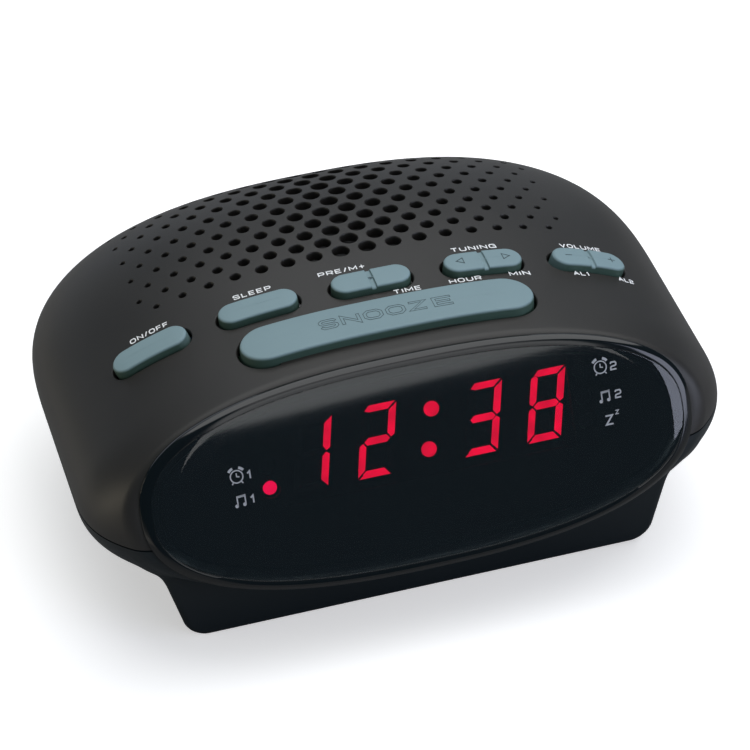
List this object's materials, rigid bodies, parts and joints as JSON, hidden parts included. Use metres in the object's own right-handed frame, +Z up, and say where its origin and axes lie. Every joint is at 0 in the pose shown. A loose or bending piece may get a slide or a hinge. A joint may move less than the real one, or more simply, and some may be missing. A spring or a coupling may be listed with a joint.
{
  "type": "clock radio",
  "caption": "Table clock radio: domed two-part housing on a plinth, tilted oval display window, press and rocker caps on top, and a speaker under a drilled grille.",
  "frame": {"origin": "middle of the footprint at table height", "axes": "+Z up, front with the display window towards -Y, +X to the right seen from the front"},
  "size_m": [0.1344, 0.1059, 0.0582],
  "materials": {
    "housing": "fine moulded texture, satin",
    "base": "smooth satin",
    "cap": "fine satin",
    "gloss_black": "polished",
    "smoked_lens": "polished, dark tint",
    "mask": "matt",
    "display_case": "matt",
    "led_red": "diffusing, lit",
    "led_idle": "diffusing, unlit",
    "circuit_board": "solder mask",
    "switch_metal": "stamped",
    "black_plastic": "moulded",
    "capacitor_sleeve": "shrink sleeve",
    "steel": "zinc plated",
    "laminations": "varnished laminations",
    "copper": "enamelled wire",
    "ferrite": "pressed, matt",
    "cone_paper": "pressed pulp",
    "dust_paper": "pressed pulp",
    "surround_rubber": "soft roll",
    "rubber": "soft pad",
    "print_white": "pad printed",
    "print_grey": "pad printed",
    "cap_engraving": "moulded in, shadowed"
  },
  "bodies": {
    "radio": {"upper_housing": "housing", "lower_housing": "base", "bezel_ring": "gloss_black", "display_lens": "smoked_lens", "light_mask": "mask", "display_body": "display_case", "lit_segments": "led_red", "dark_segments": "led_idle", "display_board": "circuit_board", "alarm_led": "led_red", "indicator_leds": "led_idle", "key_board": "circuit_board", "tact_switches": "switch_metal", "switch_plungers": "black_plastic", "main_board": "circuit_board", "capacitors": "capacitor_sleeve", "radio_chips": "black_plastic", "tuner_can": "steel", "speaker_basket": "steel", "speaker_magnet": "ferrite", "speaker_surround": "surround_rubber", "speaker_clamps": "steel", "speaker_screws": "steel", "transformer_core": "laminations", "transformer_winding": "copper", "battery_contacts": "steel", "contact_springs": "steel", "rubber_feet": "rubber", "housing_screws": "steel", "mains_grommet": "rubber", "antenna_grommet": "rubber"},
    "on_off_cap": {"on_off_button": "cap"},
    "sleep_cap": {"sleep_button": "cap"},
    "preset_cap": {"preset_rocker": "cap"},
    "tuning_cap": {"tuning_rocker": "cap"},
    "volume_cap": {"volume_rocker": "cap"},
    "snooze_cap": {"snooze_bar": "cap"},
    "cone_assembly": {"speaker_cone": "cone_paper", "speaker_dust_cap": "dust_paper", "voice_coil": "copper"},
    "bay_door": {"battery_cover": "base"}
  },
  "joints": [
    {"name": "on_off_press", "type": "slide", "parent": "radio", "child": "on_off_cap", "axis": [0.3547, 0, -0.935], "range_m": [0, 0.0006], "stiffness_N_per_m": 1200},
    {"name": "sleep_press", "type": "slide", "parent": "radio", "child": "sleep_cap", "axis": [0.1087, 0, -0.9941], "range_m": [0, 0.0006], "stiffness_N_per_m": 1200},
    {"name": "snooze_press", "type": "slide", "parent": "radio", "child": "snooze_cap", "axis": [0, 0, -1], "range_m": [0, 0.0006], "stiffness_N_per_m": 1200},
    {"name": "preset_rock", "type": "hinge", "parent": "radio", "child": "preset_cap", "pos_m": [0, -0.0086, 0.0536], "axis": [0, 1, 0], "range_deg": [-3, 3], "stiffness_Nm_per_rad": 0.5},
    {"name": "tuning_rock", "type": "hinge", "parent": "radio", "child": "tuning_cap", "pos_m": [0.02327, -0.0086, 0.05263], "axis": [0, 1, 0], "range_deg": [-3, 3], "stiffness_Nm_per_rad": 0.5},
    {"name": "volume_rock", "type": "hinge", "parent": "radio", "child": "volume_cap", "pos_m": [0.04514, -0.0086, 0.04773], "axis": [0, 1, 0], "range_deg": [-3, 3], "stiffness_Nm_per_rad": 0.5},
    {"name": "cone_travel", "type": "slide", "parent": "radio", "child": "cone_assembly", "axis": [0, 0, 1], "range_m": [-0.0005, 0.0005], "stiffness_N_per_m": 1500, "deforming": ["speaker_surround"]},
    {"name": "bay_door_slide", "type": "slide", "parent": "radio", "child": "bay_door", "axis": [0, 0, -1], "range_m": [0, 0.03]}
  ]
}
